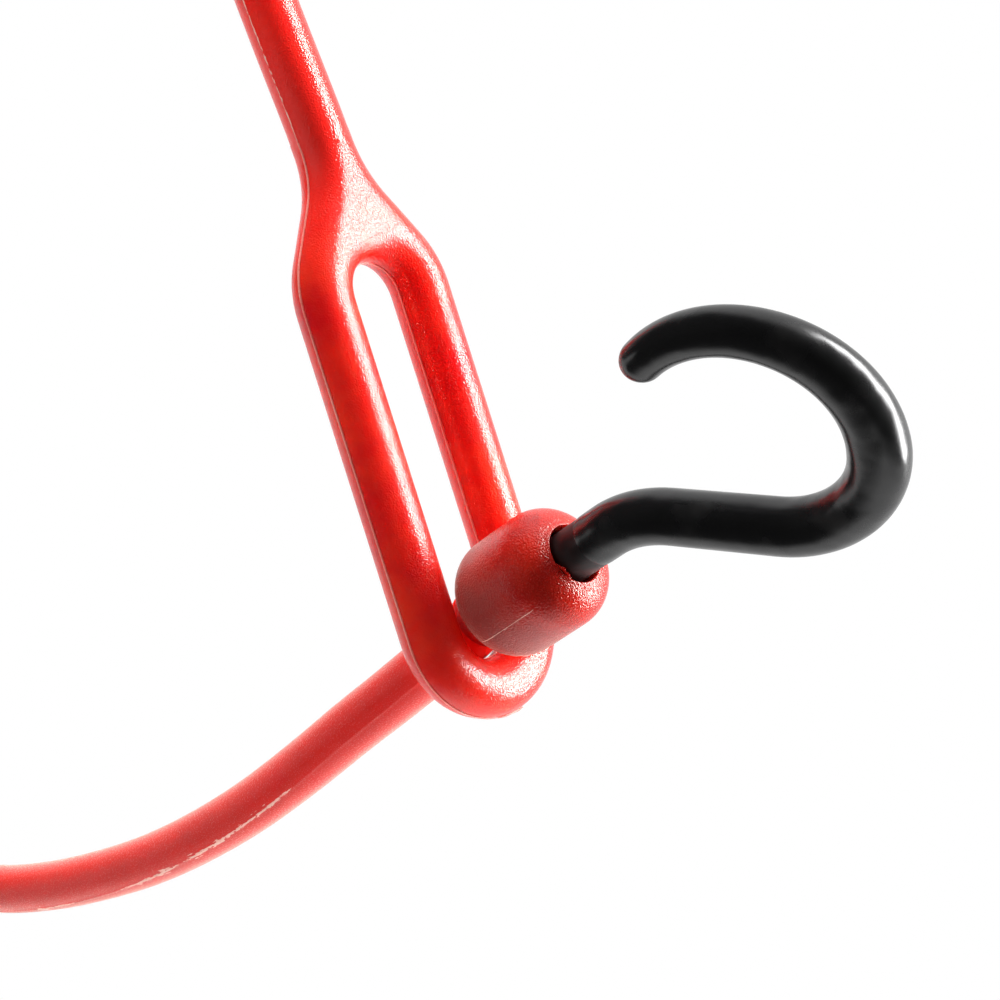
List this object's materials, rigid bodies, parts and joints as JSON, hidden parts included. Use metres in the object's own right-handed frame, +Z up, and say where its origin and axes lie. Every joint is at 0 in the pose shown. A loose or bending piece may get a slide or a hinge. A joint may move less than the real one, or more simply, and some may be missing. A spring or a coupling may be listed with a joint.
{
  "type": "bungee cord",
  "caption": "Moulded elastic tie cord whose slotted loop end buttons over a bulb that carries a swivelling nylon hook, hung on a peg as a closed ring.",
  "frame": {"origin": "underside of the cord's top bend, where the peg carries the hanging ring", "axes": "+Z up, the ring hangs in the XZ plane, +X from the peg towards the hook, -Y towards the viewer"},
  "size_m": [0.2623, 0.0292, 0.224],
  "materials": {
    "red_polyurethane": "satin moulded polyurethane with a fine grain",
    "black_nylon": "glossy moulded nylon, matte on the collar"
  },
  "bodies": {
    "loop": {"loop_end": "red_polyurethane", "cord": "red_polyurethane"},
    "bulb": {"bulb": "red_polyurethane"},
    "hook": {"hook": "black_nylon"}
  },
  "joints": [
    {"name": "bulb_draw", "type": "slide", "parent": "loop", "child": "bulb", "axis": [0.7455, 0, 0.6665], "range_m": [0, 0.05], "stiffness_N_per_m": 40, "deforming": ["cord"]},
    {"name": "hook_swivel", "type": "hinge", "parent": "bulb", "child": "hook", "pos_m": [0.0849, 0, -0.1233], "axis": [0.7955, 0, 0.606], "continuous": true}
  ]
}
